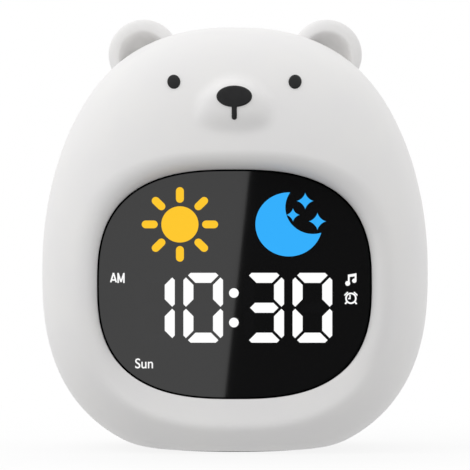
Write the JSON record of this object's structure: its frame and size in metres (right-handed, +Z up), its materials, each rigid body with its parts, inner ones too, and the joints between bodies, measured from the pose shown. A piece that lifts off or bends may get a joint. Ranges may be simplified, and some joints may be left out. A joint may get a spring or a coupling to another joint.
{
  "type": "bedside alarm clock with night light",
  "caption": "Bear-shaped bedside alarm clock: two dished shells, ears, a recessed dark display window and a rear panel with sprung keys, a slide switch, a speaker grille and a charging socket.",
  "frame": {"origin": "middle of the rest pad's underside, on the table", "axes": "+Z up, -Y out of the display, +X to the right seen from the front"},
  "size_m": [0.1148, 0.0887, 0.1282],
  "materials": {
    "shell": "soft-touch matt white, finely textured",
    "trim": "black, low gloss",
    "window": "dark tinted, polished",
    "foam": "closed-cell foam tape",
    "film": "printed diffusing film",
    "light_block": "white reflector",
    "board": "green solder mask",
    "led": "clear over yellow phosphor",
    "screw": "zinc plated",
    "panel": "finely textured",
    "key": "satin",
    "plunger": "moulded",
    "switch": "stamped cover",
    "slider": "satin red",
    "chips": "moulded",
    "socket": "drawn shell",
    "speaker_frame": "dark grey paint",
    "speaker_cone": "coated paper",
    "magnet": "nickel plated",
    "cell": "shrink-wrapped in blue film",
    "bracket": "moulded",
    "diffuser": "milky, translucent",
    "touch": "rolled foil",
    "pad": "matt silicone",
    "cable": "flat cable",
    "lead": "insulated wire"
  },
  "bodies": {
    "case": {"front_shell": "shell", "rear_shell": "shell", "left_ear": "shell", "right_ear": "shell", "left_eye": "trim", "right_eye": "trim", "nose": "trim", "display_lens": "window", "lens_gasket": "foam", "display_film": "film", "light_block": "light_block", "display_board": "board", "display_leds": "led", "display_screws": "screw", "rear_panel": "panel", "panel_screws": "screw", "switch_bodies": "switch", "slider_switch": "switch", "main_board": "board", "board_parts": "chips", "board_screws": "screw", "usb_shell": "socket", "usb_tongue": "plunger", "speaker_frame": "speaker_frame", "speaker_cone": "speaker_cone", "speaker_magnet": "magnet", "speaker_gasket": "foam", "battery_cell": "cell", "battery_clamp": "bracket", "clamp_screws": "screw", "light_board": "board", "night_leds": "led", "light_diffuser": "diffuser", "light_screws": "screw", "touch_plate": "touch", "touch_foam": "foam", "housing_screws": "screw", "rest_pad": "pad", "display_cable": "cable", "battery_leads": "lead", "speaker_leads": "lead", "light_leads": "lead", "touch_lead": "lead"},
    "mode_key": {"key_mode": "key", "plunger_mode": "plunger"},
    "up_key": {"key_up": "key", "plunger_up": "plunger"},
    "down_key": {"key_down": "key", "plunger_down": "plunger"},
    "alarm_key": {"key_alarm": "key", "plunger_alarm": "plunger"},
    "sound_key": {"key_sound": "key", "plunger_sound": "plunger"},
    "light_key": {"key_light": "key", "plunger_light": "plunger"},
    "slider": {"alarm_slider": "slider"}
  },
  "joints": [
    {"name": "mode_press", "type": "slide", "parent": "case", "child": "mode_key", "axis": [0, -1, 0], "range_m": [0, 0.0006], "stiffness_N_per_m": 800, "springref_m": -0.0005},
    {"name": "up_press", "type": "slide", "parent": "case", "child": "up_key", "axis": [0, -1, 0], "range_m": [0, 0.0006], "stiffness_N_per_m": 800, "springref_m": -0.0005},
    {"name": "down_press", "type": "slide", "parent": "case", "child": "down_key", "axis": [0, -1, 0], "range_m": [0, 0.0006], "stiffness_N_per_m": 800, "springref_m": -0.0005},
    {"name": "alarm_press", "type": "slide", "parent": "case", "child": "alarm_key", "axis": [0, -1, 0], "range_m": [0, 0.0006], "stiffness_N_per_m": 800, "springref_m": -0.0005},
    {"name": "sound_press", "type": "slide", "parent": "case", "child": "sound_key", "axis": [0, -1, 0], "range_m": [0, 0.0006], "stiffness_N_per_m": 800, "springref_m": -0.0005},
    {"name": "light_press", "type": "slide", "parent": "case", "child": "light_key", "axis": [0, -1, 0], "range_m": [0, 0.0006], "stiffness_N_per_m": 800, "springref_m": -0.0005},
    {"name": "alarm_slide", "type": "slide", "parent": "case", "child": "slider", "axis": [1, 0, 0], "range_m": [0, 0.0025]}
  ]
}
